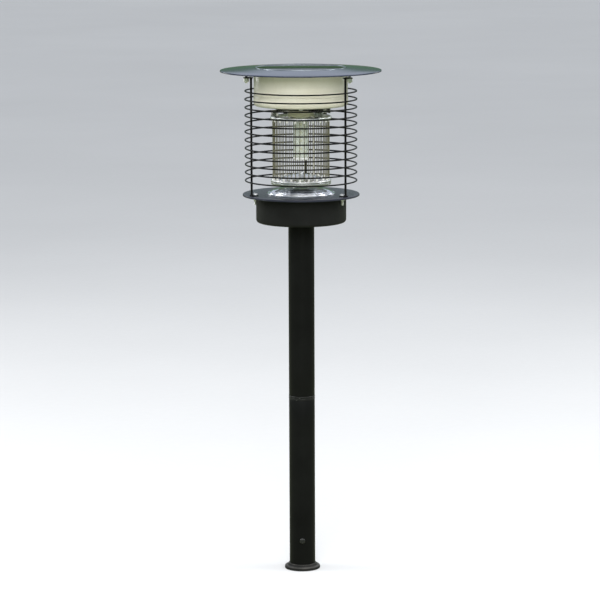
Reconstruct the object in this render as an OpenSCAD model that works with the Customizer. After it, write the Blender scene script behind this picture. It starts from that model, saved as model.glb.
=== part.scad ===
// Solar garden bug zapper: a caged electrode head on a two-piece pole and a ground stake.
// Z = 0 is the ground, under the stake's collar. The pole's axis is Z and the front faces -Y.

/* [Stake and pole] */

// Outside diameter of both pole tubes
pole_d = 38; // [30:1:50]
// Wall of the pole tubes
pole_wall = 1.5; // [1:0.1:3]
// Height of the middle of the pole joint above the ground
joint_z = 259; // [150:1:350]
// Height of the underside of the base cup above the ground
head_z = 519; // [450:1:700]
// Length of the spike below the collar
spike_len = 180; // [100:5:300]
// Diameter of the stake's collar
collar_d = 52.2; // [46:0.1:80]
// Height of the fixing screw above the ground
fixing_z = 44.7; // [30:0.1:52]

/* [Base] */

// Outside diameter of the base cup
cup_d = 131.6; // [110:0.1:140]
// Height of the base cup
cup_h = 40.4; // [38:0.1:60]
// Diameter of the flange plate
flange_d = 170.4; // [168:0.1:200]
// Sheet thickness of the flange plate
flange_t = 1.6; // [1.2:0.1:2.5]
// Diameter of the polished dish where it meets the flange plate
dish_d = 99.2; // [95:0.1:110]
// Height of the polished dish
dish_h = 14.1; // [10:0.1:20]

/* [Cage] */

// Number of cage rings
ring_count = 12; // [6:1:13]
// Outside diameter of the cage rings
ring_d = 164.4; // [160:0.1:165]
// Wire diameter of the cage rings
ring_wire_d = 2.2; // [1.6:0.1:3]
// Spacing of the cage rings
ring_pitch = 11.83; // [10:0.01:12]
// Height of the lowest ring above the flange plate
first_ring = 19.6; // [12:0.1:24]
// Diameter of the cage's upright rods
rod_d = 3.2; // [2.5:0.1:4]
// Turn of the first rod from the front
rod_turn = 54.5; // [0:0.5:119]

/* [Electrode grid] */

// Diameter over the grid wires
grid_d = 83.2; // [82.6:0.1:84]
// Number of wires on each electrode
wire_count = 20; // [12:1:24]
// Diameter of a grid wire
wire_d = 1.2; // [0.8:0.1:1.6]
// Distance between the two electrode rings
grid_span = 87.5; // [60:0.5:90]
// Turn of the first insulator post from the front
post_turn = 33; // [0:1:89]

/* [Lamp] */

// Outside diameter of the lamp tube
lamp_d = 22.8; // [20:0.1:25]
// Length of the lamp below the housing
lamp_len = 79; // [50:0.5:80]

/* [Housing] */

// Outside diameter of the housing
housing_d = 136.4; // [134:0.1:138]
// Height of the housing's upper shell
shell_h = 32.4; // [30:0.1:40]
// Height of the housing's lower cover
cover_h = 15.7; // [14:0.1:20]
// Wall of the housing
housing_wall = 2.2; // [1.6:0.1:3]

/* [Cap and panel] */

// Outside diameter of the cap
cap_d = 234.6; // [220:0.2:260]
// Fall of the cap's brim from the panel to the rim
brim_fall = 3.6; // [1:0.1:10]
// Sheet thickness of the cap
cap_t = 1.5; // [1:0.1:2]
// Outside diameter of the panel's bezel
panel_d = 132; // [120:0.1:140]

/* [Power button] */

// Diameter of the power button
button_d = 10; // [8:0.1:12]
// Travel of the power button
button_travel = 1.5; // [1:0.1:2]
// Turn of the power button from the front
switch_turn = 234.5; // [200:0.5:250]

/* [Part] */

// Piece to draw

/* [Hidden] */

$fn = 96;

black = [0.05, 0.05, 0.06];
steel = [0.75, 0.76, 0.78];
ivory = [0.93, 0.92, 0.86];

// Running clearance of the pole's slip fits, on the radius
slip = 0.08;
// Clearance of pieces that only pass each other, on the radius
pass = 0.35;
// Small break on edges
edge = 0.8;
// Overshoot of cutting shapes
over = 1;

// Pole
pole_r = pole_d / 2;
bore_r = pole_r - pole_wall;
plug_r = bore_r - slip;
tube_z = 8;
plug_top = 56;
band_h = 5;
joint_plug = 38;
plug_wall = 2;

// Base stack
flange_r = flange_d / 2;
flange_z = head_z + cup_h;
flange_top = flange_z + flange_t;
lip_h = 1.2;
cup_r = cup_d / 2;
cup_wall = 1.5;
cup_corner = 5;
socket_gap = 3;
socket_z = head_z + cup_wall + 1;
dish_r = dish_d / 2;
dish_t = 1.2;
dish_z = flange_top + dish_h;
dome_r = dish_r - 2.2;
dome_h = dish_h - 4;
dome_low = 5;
dome_high = 72;
dome_bands = 4;
dome_top = flange_top + dome_h * sin(dome_high);
hub_r = 12;

// Grid stack
cone_rim_t = 3.5;
cone_rim_r = 43.5;
low_ring_z = dish_z + cone_rim_t;
low_ring_h = 3.8;
grid_low = low_ring_z + low_ring_h;
grid_high = grid_low + grid_span;
high_ring_h = 4.6;
grid_top = grid_high + high_ring_h;
grid_ring_in = 38.6;
grid_ring_out = 44;
wire_r = wire_d / 2;
wire_circle = grid_d / 2 - wire_r;
bead_h = 3.2;
bead_r = 1.5;
wire_step = 360 / wire_count;
grid_drop = 14.7;
mount_t = 4.5;
mount_r = 39;
bracket_t = 1.2;
bracket_w = 13;
bracket_in = 30;
bracket_low = 1.5;
bracket_screw_circle = 34;
bracket_screw_r = 1.4;
post_h = grid_drop - mount_t - bracket_t;
post_r = 2.6;
post_circle = 41.6;
bracket_r = post_circle + post_r + 2;
lead_turn = 150;

// Housing stack
cover_z = grid_top + grid_drop;
mount_z = cover_z - mount_t;
shell_z = cover_z + cover_h;
shell_top = shell_z + shell_h;
gasket_t = 1;
cap_z = shell_top + gasket_t;
housing_r = housing_d / 2;
housing_in = housing_r - housing_wall;
floor_z = cover_z + housing_wall;
cover_r = housing_r + 0.5;
cover_corner = 6;
boss_r = 4;
boss_circle = housing_in - 9;
rib_t = 2.5;
pilot_r = 1.65;
screw_r = 1.6;

// Electronics
board_z = floor_z + 21.6;
board_t = 1.6;
board_r = 52.5;
standoff_r = 3;
standoff_circle = 48;
cell_r = 9.1;
cell_len = 66;
cell_y = 32;
cell_z = floor_z + 11.2;
tray_t = 2;

// Lamp
lamp_r = lamp_d / 2;
lamp_wall = 1.2;
lamp_low = cover_z - lamp_len;
lamp_cap_h = 4;
holder_r = 13.5;
holder_body_r = 19.4;
holder_low = mount_z - 11;
holder_seat = cover_z + 3;
holder_top = floor_z + 6;
holder_nut_r = 19;
holder_nut_t = 5;

// Cap stack
cap_r = cap_d / 2;
recess_r = panel_d / 2 + 0.2;
panel_floor = cap_z + cap_t;
recess_depth = 4.8;
brim_z = panel_floor + recess_depth;
rim_z = brim_z - brim_fall;
rim_h = 2;
bezel_r = panel_d / 2;
bezel_wall = 1.9;
panel_r = bezel_r - bezel_wall - 0.1;
bezel_lip_r = bezel_r - 2.6;
panel_board_t = 1.6;
cell_sheet_t = 0.3;
cover_t = 3.2;
panel_top = panel_floor + panel_board_t + cell_sheet_t + cover_t;
strip_w = 19;
strip_gap = 1.6;
strip_count = 6;

// Cage
ring_r = ring_d / 2;
ring_wire_r = ring_wire_d / 2;
rod_r = rod_d / 2;
weld = 0.2;
rod_circle = ring_r - ring_wire_d - rod_r + weld;
tab_t = 1.5;
stud_circle = 86;
bolt_circle = 73;
bolt_r = 2;
bolt_hole_r = 2.25;
nut_r = 4.05;
tab_top = cap_z - 4.8;
tab_w = 9;
stud_len = 16.7;
brim_in = recess_r + cap_t;
brim_out = cap_r - 2.4;
brim_slope = brim_fall / (brim_out - brim_in);
brim_under = brim_z - cap_t - brim_slope * (stud_circle - bolt_r - brim_in);

// Button
button_r = button_d / 2;
button_z = board_z + 12.2;
button_in = housing_in - 6;
button_out = housing_r + 5;
switch_in = housing_in - 14;
switch_r = button_r + 1.8;

module at(turn, radius) {
    rotate([0, 0, turn])
        translate([0, -radius, 0])
            children();
}

module around(count, radius, start = 0) {
    for (i = [0 : count - 1])
        at(start + i * 360 / count, radius)
            children();
}

module tube(outer, inner, low, high) {
    translate([0, 0, low])
        difference() {
            cylinder(r = outer, h = high - low);
            translate([0, 0, -over])
                cylinder(r = inner, h = high - low + 2 * over);
        }
}

module rod(r, low, high) {
    translate([0, 0, low])
        cylinder(r = r, h = high - low);
}

module spike_blade() {
    blade_w = 15;
    blade_t = 3;
    root = 2;
    knee = -spike_len * 0.55;
    rotate([90, 0, 0])
        translate([0, 0, -blade_t / 2])
            linear_extrude(height = blade_t)
                polygon([[-blade_w, root], [-blade_w, 0], [-blade_w * 0.8, knee], [0, -spike_len],
                    [blade_w * 0.8, knee], [blade_w, 0], [blade_w, root]]);
}

module ground_stake() {
    color(black)
        difference() {
            union() {
                rotate_extrude()
                    polygon([[0, 0], [collar_d / 2 - edge, 0], [collar_d / 2, edge], [collar_d / 2, 3],
                        [collar_d / 2 - edge, 4], [pole_r + 2.5, 4.6], [pole_r + 1.5, tube_z],
                        [plug_r, tube_z],
                        [plug_r, plug_top - 3], [plug_r - 1.5, plug_top], [0, plug_top]]);
                spike_blade();
                rotate([0, 0, 90])
                    spike_blade();
            }
            translate([0, 0, fixing_z])
                rotate([90, 0, 0])
                    cylinder(r = screw_r + 0.45, h = collar_d);
        }
}

module stake_screw() {
    head_r = 4;
    head_h = 2.6;
    screw_len = 12;
    color(steel)
        translate([0, -pole_r, fixing_z])
            rotate([90, 0, 0])
                rotate_extrude()
                    polygon([[0, -screw_len], [screw_r - 0.4, -screw_len], [screw_r + 0.4, 1 - screw_len],
                        [screw_r + 0.4, 0], [head_r, 0], [head_r, head_h * 0.4],
                        [head_r * 0.7, head_h * 0.85], [head_r * 0.3, head_h], [0, head_h]]);
}

module pole_tube(low, high) {
    rotate_extrude()
        polygon([[bore_r, low], [pole_r - edge, low], [pole_r, low + edge], [pole_r, high - edge],
            [pole_r - edge, high], [bore_r, high]]);
}

module lower_pole() {
    color(black)
        difference() {
            pole_tube(tube_z, joint_z - band_h / 2);
            translate([0, 0, fixing_z])
                rotate([90, 0, 0])
                    cylinder(r = screw_r + 0.6, h = pole_d);
        }
}

module pole_joiner() {
    inner = plug_r - plug_wall;
    half = band_h / 2;
    groove = 0.6;
    color(black)
        translate([0, 0, joint_z])
            rotate_extrude()
                polygon([[inner, -joint_plug - half], [plug_r - edge, -joint_plug - half],
                    [plug_r, edge - joint_plug - half], [plug_r, -half], [pole_r, -half],
                    [pole_r + 0.3, -half + 0.4], [pole_r + 0.3, -groove], [pole_r - 0.5, -groove / 2],
                    [pole_r - 0.5, groove / 2], [pole_r + 0.3, groove], [pole_r + 0.3, half - 0.4],
                    [pole_r, half], [plug_r, half], [plug_r, half + joint_plug - edge],
                    [plug_r - edge, half + joint_plug], [inner, half + joint_plug]]);
}

module upper_pole() {
    color(black)
        pole_tube(joint_z + band_h / 2, flange_z - socket_gap);
}

module base_cup() {
    hole_r = pole_r + pass;
    in_r = cup_r - cup_wall;
    color(black)
        translate([0, 0, head_z])
            rotate_extrude()
                polygon(concat(
                    [[hole_r, 0]],
                    [for (a = [0 : 15 : 90])
                        [cup_r - cup_corner + cup_corner * sin(a), cup_corner * (1 - cos(a))]],
                    [[cup_r, cup_h], [in_r, cup_h], [in_r, cup_corner], [cup_r - cup_corner, cup_wall],
                        [hole_r, cup_wall]]));
}

module pole_socket() {
    color(steel)
        difference() {
            union() {
                rod(pole_r + 3, socket_z, flange_z);
                rod(pole_r + 10, flange_z - socket_gap, flange_z);
            }
            rod(pole_r + slip, socket_z - over, flange_z - socket_gap);
            rod(6, socket_z, flange_z + over);
        }
}

module flange_plate() {
    color(black)
        difference() {
            rotate_extrude()
                polygon([[6, flange_z], [flange_r - 2.4, flange_z], [flange_r - 1.6, flange_z - lip_h],
                    [flange_r - 0.5, flange_z - lip_h], [flange_r, flange_z - lip_h + 0.6],
                    [flange_r, flange_top - 0.9], [flange_r - 0.9, flange_top], [6, flange_top]]);
            around(3, bolt_circle, rod_turn)
                rod(bolt_hole_r, flange_z - over, flange_top + over);
        }
}

module base_bolts() {
    head_r = 3.7;
    head_h = 2.6;
    seat = flange_top + tab_t;
    tail = 14;
    color(steel)
        around(3, bolt_circle, rod_turn)
            translate([0, 0, seat])
                rotate_extrude()
                    polygon([[0, -tail], [bolt_r - 0.4, -tail], [bolt_r, 0.4 - tail], [bolt_r, 0],
                        [head_r, 0], [head_r, head_h * 0.35], [head_r * 0.8, head_h * 0.8],
                        [head_r * 0.4, head_h], [0, head_h]]);
}

module hex_nut(low, high) {
    translate([0, 0, low])
        difference() {
            cylinder(r = nut_r, h = high - low, $fn = 6);
            translate([0, 0, -over])
                cylinder(r = bolt_r + 0.05, h = high - low + 2 * over);
        }
}

module base_nuts() {
    color(steel)
        around(3, bolt_circle, rod_turn)
            hex_nut(flange_z - 3.6, flange_z);
}

module cage_tab(radius, low) {
    out = radius > rod_circle ? 1 : -1;
    reach = abs(radius - rod_circle);
    translate([0, -rod_circle, low])
        difference() {
            union() {
                translate([-tab_w / 2, out > 0 ? -reach : -rod_r, 0])
                    cube([tab_w, reach + rod_r, tab_t]);
                translate([0, -out * reach, 0])
                    cylinder(r = tab_w / 2, h = tab_t);
            }
            translate([0, -out * reach, -over])
                cylinder(r = bolt_hole_r, h = tab_t + 2 * over);
        }
}

module cage_rods() {
    color(black)
        for (i = [0 : 2])
            rotate([0, 0, rod_turn + 120 * i])
                union() {
                    translate([0, -rod_circle, 0])
                        rod(rod_r, flange_top, tab_top);
                    cage_tab(bolt_circle, flange_top);
                    cage_tab(stud_circle, tab_top - tab_t);
                }
}

module cage_rings() {
    color(black)
        for (i = [0 : ring_count - 1])
            translate([0, 0, flange_top + first_ring + i * ring_pitch])
                rotate_extrude()
                    translate([ring_r - ring_wire_r, 0])
                        circle(r = ring_wire_r, $fn = 24);
}

module cap_studs() {
    color(steel)
        around(3, stud_circle, rod_turn)
            translate([0, 0, brim_under - stud_len])
                cylinder(r = bolt_r, h = stud_len);
}

module cap_nuts() {
    nut_top = tab_top - tab_t;
    color(steel)
        around(3, stud_circle, rod_turn)
            hex_nut(nut_top - 5, nut_top);
}

// Points of the dome from its foot to its top, with a groove between each two bands
function dome(r, h, groove) =
    let (band = (dome_high - dome_low + 1) / dome_bands)
        [for (k = [0 : dome_bands - 1])
            for (j = [0 : k < dome_bands - 1 ? 5 : 4])
                let (t = dome_low + band * k + (j < 5 ? (band - 1) * j / 4 : band - 0.5))
                    [r * cos(t), h * sin(t) - (j < 5 ? 0 : groove)]];

module dish() {
    hole = 6;
    outer = dome(dome_r, dome_h, 0.5);
    inner = dome(dome_r - dish_t, dome_h - dish_t, 0.5);
    last = len(outer) - 1;
    color(steel)
        translate([0, 0, flange_top])
            rotate_extrude()
                polygon(concat(
                    [[dish_r, 0], [dish_r, 1.1], [dish_r - 0.7, 1.6], [dish_r - 1.4, 1.1]],
                    [[dish_r - 1.8, 0.7]],
                    outer,
                    [[hole, outer[last][1]], [hole, inner[last][1]]],
                    [for (i = [last : -1 : 0]) inner[i]],
                    [[dome_r - dish_t, 0]]));
}

module reflector_cone() {
    knob_r = 3;
    color(steel)
        translate([0, 0, dish_z])
            rotate_extrude()
                polygon([[0, dome_top - dish_z], [hub_r, dome_top - dish_z], [hub_r, 0],
                    [cone_rim_r - 0.5, 0], [cone_rim_r, 0.5], [cone_rim_r, cone_rim_t],
                    [38.3, cone_rim_t], [36, 5.4], [30, 8.8],
                    [22, 11.6], [12, 13.6], [5, 14.6], [2.2, 15.2], [knob_r, 16.4], [knob_r, 17.2],
                    [knob_r * 0.6, 18.1], [0, 18.4]]);
}

module grid_ring(low, height, out) {
    rotate_extrude()
        polygon([[grid_ring_in, low], [out - edge, low], [out, low + edge], [out, low + height - edge],
            [out - edge, low + height], [grid_ring_in, low + height]]);
}

module lower_grid_ring() {
    lug_w = 5;
    lug_t = 1;
    color(steel)
        union() {
            grid_ring(low_ring_z, low_ring_h, grid_ring_out);
            rotate([0, 0, lead_turn])
                translate([-lug_w / 2, -grid_ring_in - 0.5, grid_low - lug_t])
                    cube([lug_w, 3.8, lug_t]);
        }
}

module upper_grid_ring() {
    color(steel)
        grid_ring(grid_high, high_ring_h, grid_ring_out + 0.6);
}

module lower_grid_wires() {
    color(steel)
        around(wire_count, wire_circle, wire_step * 3 / 8)
            rod(wire_r, grid_low, grid_high - bead_h);
}

module upper_grid_wires() {
    color(steel)
        around(wire_count, wire_circle, wire_step * 7 / 8)
            rod(wire_r, grid_low + bead_h, grid_high);
}

module grid_beads() {
    color(ivory) {
        around(wire_count, wire_circle, wire_step * 3 / 8)
            rod(bead_r, grid_high - bead_h, grid_high);
        around(wire_count, wire_circle, wire_step * 7 / 8)
            rod(bead_r, grid_low, grid_low + bead_h);
    }
}

module grid_mount() {
    color(black)
        difference() {
            rotate_extrude()
                polygon([[holder_r + 0.1, mount_z], [mount_r - 1.2, mount_z], [mount_r, mount_z + 1.2],
                    [mount_r, cover_z], [holder_r + 0.1, cover_z]]);
            around(4, bracket_screw_circle, post_turn)
                rod(bracket_screw_r + 0.05, mount_z - over, cover_z + over);
            at(lead_turn, grid_ring_in - 2.2)
                rod(1.35, mount_z - over, cover_z + over);
        }
}

module post_brackets() {
    face = bracket_r + bracket_t;
    low = grid_top + bracket_low;
    color(steel)
        around(4, 0, post_turn)
            difference() {
                union() {
                    translate([-bracket_w / 2, -face, low])
                        cube([bracket_w, bracket_t, mount_z - low]);
                    translate([-bracket_w / 2, -face, mount_z - bracket_t])
                        cube([bracket_w, face - bracket_in, bracket_t]);
                }
                translate([0, -bracket_screw_circle, 0])
                    rod(bracket_screw_r + 0.3, mount_z - 2 * bracket_t, mount_z + over);
            }
}

module bracket_screws() {
    head_r = 2.6;
    head_h = 1.6;
    seat = mount_z - bracket_t;
    color(steel)
        around(4, bracket_screw_circle, post_turn)
            union() {
                rod(head_r, seat - head_h, seat);
                rod(bracket_screw_r, seat - head_h / 2, cover_z - 0.3);
            }
}

module insulator_posts() {
    neck = post_r - 0.7;
    ribs = 3;
    pitch = post_h / ribs;
    color(ivory)
        around(4, post_circle, post_turn)
            translate([0, 0, grid_top])
                rotate_extrude()
                    polygon(concat(
                        [[0, 0]],
                        [for (i = [0 : ribs - 1])
                            for (p = [[post_r, 0], [post_r, 0.62], [neck, 0.7],
                                [neck, i < ribs - 1 ? 0.94 : 1]])
                                [p[0], pitch * (i + p[1])]],
                        [[0, post_h]]));
}

module lamp_tube() {
    color([0.85, 0.92, 0.9, 0.5])
        tube(lamp_r, lamp_r - lamp_wall, lamp_low + lamp_cap_h, holder_seat);
}

module lamp_end_cap() {
    color(ivory)
        translate([0, 0, lamp_low])
            rotate_extrude()
                polygon([[0, 0], [lamp_r - 2, 0], [lamp_r - 0.6, 0.5], [lamp_r, 1.6], [lamp_r, lamp_cap_h],
                    [0, lamp_cap_h]]);
}

module lamp_holder() {
    lip = 1;
    color(ivory)
        difference() {
            rotate_extrude()
                polygon([[0, holder_low], [holder_body_r - lip, holder_low],
                    [holder_body_r, holder_low + lip], [holder_body_r, mount_z], [holder_r, mount_z],
                    [holder_r, holder_top], [0, holder_top]]);
            rod(lamp_r + 0.05, holder_low - over, holder_seat);
        }
}

module holder_nut() {
    color(ivory)
        translate([0, 0, floor_z])
            difference() {
                cylinder(r = holder_nut_r, h = holder_nut_t, $fn = 6);
                translate([0, 0, -over])
                    cylinder(r = holder_r + 0.05, h = holder_nut_t + 2 * over);
            }
}

module led_board() {
    w = 15;
    color([0.9, 0.9, 0.88])
        translate([-w / 2, -board_t / 2, lamp_low + lamp_cap_h])
            cube([w, board_t, holder_seat - lamp_low - lamp_cap_h]);
}

module led_chips() {
    chip = 3.5;
    chip_t = 1.2;
    rows = 5;
    pitch = 12;
    color([0.95, 0.9, 0.6])
        for (i = [0 : rows - 1])
            for (side = [0, 180])
                rotate([0, 0, side])
                    translate([-chip / 2, -board_t / 2 - chip_t, lamp_low + 14 + i * pitch])
                        cube([chip, chip_t, chip]);
}

module boss_set(low, high, r) {
    around(4, boss_circle)
        rod(r, low, high);
}

module at_switch() {
    at(switch_turn, 0)
        translate([0, 0, button_z])
            rotate([90, 0, 0])
                children();
}

module housing_shell() {
    color(ivory)
        difference() {
            union() {
                tube(housing_r, housing_in, shell_z, shell_top);
                boss_set(floor_z, shell_top, boss_r);
                around(4, boss_circle)
                    translate([-rib_t / 2, -(housing_in + housing_wall / 2 - boss_circle), shell_z])
                        cube([rib_t, housing_in + housing_wall / 2 - boss_circle, shell_h]);
            }
            boss_set(floor_z - over, shell_top + over, pilot_r);
            at_switch()
                rod(switch_r + 0.1, switch_in, button_out);
        }
}

module housing_cover() {
    in_r = cover_r - housing_wall - 0.5;
    color(ivory)
        difference() {
            rotate_extrude()
                polygon(concat(
                    [[holder_r + 0.1, cover_z]],
                    [for (a = [0 : 15 : 90])
                        [cover_r - cover_corner + cover_corner * sin(a),
                            cover_z + cover_corner * (1 - cos(a))]],
                    [[cover_r, shell_z - 0.5], [cover_r - 0.5, shell_z], [in_r, shell_z],
                        [in_r, cover_z + cover_corner], [cover_r - cover_corner, floor_z],
                        [holder_r + 0.1, floor_z]]));
            boss_set(cover_z - over, shell_z + over, screw_r + 0.2);
        }
}

module housing_screws() {
    head_r = 3.2;
    head_h = 2;
    grip = shell_z - cover_z + 14;
    color(steel)
        around(4, boss_circle)
            union() {
                rod(head_r, cover_z - head_h, cover_z);
                rod(screw_r, cover_z - head_h / 2, cover_z + grip);
            }
}

module housing_gasket() {
    color(black)
        tube(housing_r - 0.2, housing_in, shell_top, cap_z);
}

module board_standoffs() {
    color(steel)
        around(4, standoff_circle)
            rod(standoff_r, floor_z, board_z);
}

module control_board() {
    color([0.1, 0.35, 0.15])
        rod(board_r, board_z, board_z + board_t);
}

module board_screws() {
    color(steel)
        around(4, standoff_circle)
            rod(2.8, board_z + board_t, board_z + board_t + 2);
}

module hv_transformer() {
    h = 15;
    color([0.8, 0.65, 0.1])
        union() {
            translate([24, -9, board_z - h])
                cube([20, 18, h]);
            translate([27, -11, board_z - h + 3])
                cube([14, 22, h - 6]);
        }
}

module hv_capacitors() {
    color([0.1, 0.2, 0.5])
        for (x = [-26, -38])
            translate([x, 0, 0])
                rod(5, board_z - 12, board_z);
}

module battery_cells() {
    color([0.2, 0.45, 0.7])
        for (side = [-1, 1])
            translate([-cell_len / 2, side * cell_y, cell_z])
                rotate([0, 90, 0])
                    cylinder(r = cell_r, h = cell_len);
}

module battery_trays() {
    tray_len = cell_len + 2 * tray_t + 1;
    tray_w = 2 * cell_r + 2 * tray_t + 0.6;
    color(black)
        for (side = [-1, 1])
            translate([0, side * cell_y, floor_z])
                difference() {
                    translate([-tray_len / 2, -tray_w / 2, 0])
                        cube([tray_len, tray_w, cell_z - floor_z]);
                    translate([-cell_len / 2 - 0.3, -cell_r - 0.3, tray_t])
                        cube([cell_len + 0.6, 2 * cell_r + 0.6, cell_z]);
                }
}

module hv_lead() {
    color([0.6, 0.1, 0.1])
        at(lead_turn, grid_ring_in - 2.2)
            rod(1, grid_low, cover_z);
}

module panel_leads() {
    for (side = [-1, 1])
        color(side > 0 ? [0.6, 0.1, 0.1] : black)
            translate([side * 1.3, 0, 0])
                rod(0.8, board_z + board_t, panel_floor);
}

module cap() {
    hole_r = 4;
    color([0.18, 0.2, 0.27])
        difference() {
            rotate_extrude()
                polygon([[hole_r, cap_z], [brim_in, cap_z], [brim_in, brim_z - cap_t],
                    [brim_out, rim_z - cap_t], [cap_r - 1.6, rim_z - rim_h], [cap_r - 0.5, rim_z - rim_h],
                    [cap_r, rim_z - rim_h + 0.6], [cap_r, rim_z - 0.6], [cap_r - 0.7, rim_z],
                    [brim_in, brim_z], [recess_r, brim_z], [recess_r, panel_floor],
                    [hole_r, panel_floor]]);
            around(4, boss_circle)
                cap_screw_shape(0.05);
        }
}

module cap_screw_shape(gap) {
    translate([0, 0, cap_z])
        rotate_extrude()
            polygon([[0, -over], [screw_r + gap, -over], [screw_r + gap, 0], [3 + gap, cap_t],
                [3 + gap, cap_t + gap], [0, cap_t + gap]]);
}

module cap_screws() {
    depth = 10;
    color(steel)
        around(4, boss_circle)
            union() {
                rod(screw_r, cap_z - depth, cap_z);
                translate([0, 0, cap_z])
                    cylinder(r1 = screw_r, r2 = 3, h = cap_t);
            }
}

module panel_board() {
    color([0.1, 0.1, 0.12])
        rod(panel_r, panel_floor, panel_floor + panel_board_t);
}

module solar_cells() {
    low = panel_floor + panel_board_t;
    pitch = strip_w + strip_gap;
    reach = panel_r - 1.5;
    color([0.08, 0.1, 0.25])
        for (i = [0 : strip_count - 1]) {
            y = (i - (strip_count - 1) / 2) * pitch;
            far = abs(y) + strip_w / 2;
            half = sqrt(max(1, reach * reach - far * far));
            translate([-half, y - strip_w / 2, low])
                cube([2 * half, strip_w, cell_sheet_t]);
        }
}

module panel_cover() {
    low = panel_floor + panel_board_t + cell_sheet_t;
    color([0.4, 0.5, 0.5, 0.5])
        rod(panel_r, low, low + cover_t);
}

module panel_bezel() {
    lip_t = 0.4;
    top = panel_top + lip_t;
    inner = bezel_r - bezel_wall;
    color(steel)
        rotate_extrude()
            polygon([[inner, panel_floor], [bezel_r, panel_floor], [bezel_r, top - 0.6],
                [bezel_r - 0.6, top], [bezel_lip_r + 0.5, top], [bezel_lip_r, panel_top + 0.1],
                [bezel_lip_r, panel_top], [inner, panel_top]]);
}

module power_switch() {
    flange = housing_r + 2.6;
    color(black)
        at_switch()
            difference() {
                union() {
                    rod(switch_r, switch_in, flange);
                    rod(switch_r + 1.6, housing_r + 0.2, flange);
                }
                rod(button_r + pass, button_in - button_travel - 0.5, flange + over);
            }
}

module power_button() {
    color([0.6, 0.08, 0.06])
        at_switch()
            rotate_extrude()
                polygon([[0, button_in], [button_r, button_in], [button_r, button_out - 1],
                    [button_r - 1, button_out], [0, button_out]]);
}

ground_stake();
stake_screw();
lower_pole();
pole_joiner();
upper_pole();
base_cup();
pole_socket();
flange_plate();
base_bolts();
base_nuts();
cage_rods();
cage_rings();
cap_studs();
cap_nuts();
dish();
reflector_cone();
lower_grid_ring();
lower_grid_wires();
upper_grid_ring();
upper_grid_wires();
grid_beads();
grid_mount();
post_brackets();
bracket_screws();
insulator_posts();
lamp_tube();
lamp_end_cap();
lamp_holder();
holder_nut();
led_board();
led_chips();
housing_shell();
housing_cover();
housing_screws();
housing_gasket();
board_standoffs();
control_board();
board_screws();
hv_transformer();
hv_capacitors();
battery_cells();
battery_trays();
hv_lead();
panel_leads();
cap();
cap_screws();
panel_board();
solar_cells();
panel_cover();
panel_bezel();
power_switch();
power_button();
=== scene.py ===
import math
import random

import bmesh
import bpy
from mathutils import Matrix, Vector


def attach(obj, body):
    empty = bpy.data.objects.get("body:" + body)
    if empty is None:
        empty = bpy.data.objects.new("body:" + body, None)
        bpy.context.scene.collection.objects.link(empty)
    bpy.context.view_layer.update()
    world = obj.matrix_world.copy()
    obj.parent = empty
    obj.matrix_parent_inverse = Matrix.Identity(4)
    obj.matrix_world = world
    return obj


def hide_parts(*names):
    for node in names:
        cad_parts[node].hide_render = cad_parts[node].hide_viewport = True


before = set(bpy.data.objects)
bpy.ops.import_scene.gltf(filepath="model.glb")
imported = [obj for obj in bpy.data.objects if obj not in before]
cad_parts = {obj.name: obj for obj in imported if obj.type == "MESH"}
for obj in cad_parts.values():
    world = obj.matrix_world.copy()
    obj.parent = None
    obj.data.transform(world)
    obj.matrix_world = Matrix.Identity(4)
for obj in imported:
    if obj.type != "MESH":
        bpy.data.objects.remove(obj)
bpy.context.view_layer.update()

# Shapes are in millimetres, in the part's frame, until their mesh is made. The studio is in metres.
MM = 0.001
TAU = math.tau
random.seed(11)

POLE_R, BORE_R, PLUG_R = 19.0, 17.5, 17.42
TUBE_Z, JOINT_Z, BAND_HALF, POLE_TOP, HEAD_Z = 8.0, 259.0, 2.5, 556.4, 519.0
STAKE_SCREW_Z, PLUG_TOP, SPIKE = 44.7, 56.0, 180.0
SOCKET_Z, SOCKET_R = 521.5, 19.08
FLANGE_R, FLANGE_Z, FLANGE_TOP = 85.2, 559.4, 561.0
CUP_R = 65.8
DISH_R, DISH_Z = 49.6, 575.1
LOW_RING_Z, GRID_LOW, GRID_HIGH, GRID_TOP = 578.6, 582.4, 669.9, 674.5
WIRE_R, WIRE_CIRCLE, WIRES, BEAD = 0.6, 41.0, 20, 3.2
POST_TURN, POST_CIRCLE, POST_H, BRACKET_SCREW_CIRCLE = 33.0, 41.6, 9.0, 34.0
LEAD_TURN, LEAD_CIRCLE, LEAD_R = 150.0, 36.4, 0.95
HUB_R = 13.6
MOUNT_Z, COVER_Z, SHELL_Z, SHELL_TOP, CAP_Z = 684.7, 689.2, 704.9, 737.3, 738.3
HOUSING_R, HOUSING_IN, COVER_R = 68.2, 66.0, 68.7
BOSS_CIRCLE = 57.0
CAP_R, BRIM_Z, RIM_Z, PANEL_FLOOR, PANEL_TOP = 117.3, 744.6, 741.0, 739.8, 744.9
RECESS_R, BEZEL_R, PANEL_R = 66.2, 66.0, 64.0
ROD_TURN, ROD_R, ROD_CIRCLE, BOLT_CIRCLE, STUD_CIRCLE = 54.5, 1.6, 78.6, 73.0, 86.0
RING_CIRCLE, RING_WIRE, RINGS, FIRST_RING, RING_PITCH = 81.1, 1.1, 12, 580.6, 11.83
RING_WELD_TURN = 180.5
LAMP_R, LAMP_LOW, HOLDER_SEAT, HOLDER_TOP = 11.4, 610.2, 692.2, 697.4
SWITCH_TURN, SWITCH_Z = 234.5, 725.2
STUD_LOW, STUD_HIGH, NUT_H, TAB = 725.15, 741.8, 5.0, 1.5
CAP_WALL_R, CAP_LIP_R, CAP_SHEET = 67.7, 114.9, 1.5
SEAM_TURN = -33.0


# ---- mesh tools

def at(turn, radius, z=0.0):
    """Places a shape at a turn about the axis, as the CAD does."""
    return Matrix.Rotation(math.radians(turn), 4, "Z") @ Matrix.Translation((0, -radius, z))


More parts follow.
